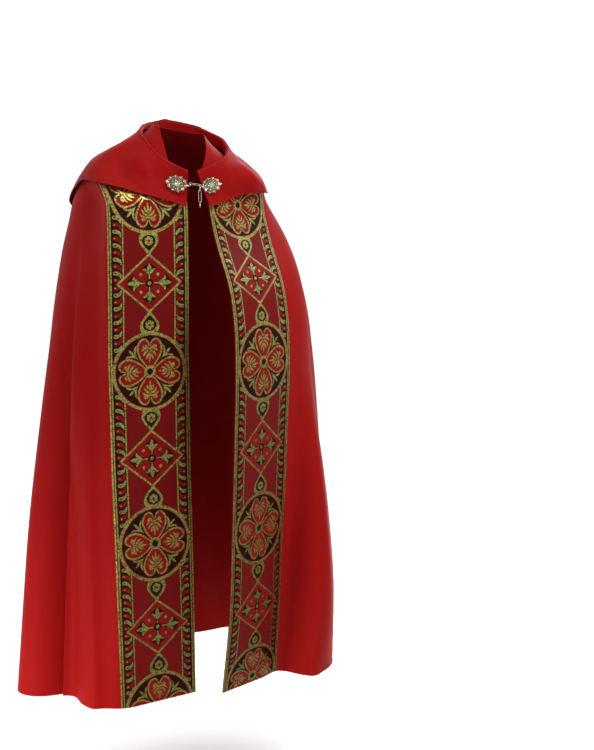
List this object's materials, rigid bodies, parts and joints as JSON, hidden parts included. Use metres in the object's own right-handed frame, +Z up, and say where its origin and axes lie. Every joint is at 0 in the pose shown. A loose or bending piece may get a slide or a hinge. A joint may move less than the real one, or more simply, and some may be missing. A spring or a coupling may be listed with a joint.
{
  "type": "cope vestment",
  "caption": "Long open liturgical cape with woven front bands, a rolled shoulder hood and a chained clasp, kept in the hollow form it has when worn.",
  "frame": {"origin": "between the wearer's shoulders at the base of the neck, where the wearer carries the garment", "axes": "+Z up along the wearer, -Y the way the wearer faces, +X to the wearer's left"},
  "size_m": [0.8177, 0.61, 1.3535],
  "materials": {
    "red_cloth": "plain woven red cloth, soft sheen",
    "woven_band": "figured band of gold, crimson and maroon threads",
    "cast_metal": "pale gilt casting, polished high points"
  },
  "bodies": {
    "garment": {"cape": "red_cloth", "hood": "red_cloth", "front_band_right": "woven_band", "front_band_left": "woven_band", "hood_band": "woven_band", "clasp_boss_right": "cast_metal", "clasp_boss_left": "cast_metal", "chain_link_right": "cast_metal", "chain_link_middle": "cast_metal", "chain_link_left": "cast_metal", "chain_ring": "cast_metal"},
    "chain_tail": {"tail_link": "cast_metal", "tail_oval": "cast_metal", "tail_drop": "cast_metal"}
  },
  "joints": [
    {"name": "tail_swing", "type": "hinge", "parent": "garment", "child": "chain_tail", "pos_m": [0.00574, -0.16267, -0.08032], "axis": [0.9539, 0.2701, -0.1305], "range_deg": [-70, 4]}
  ]
}
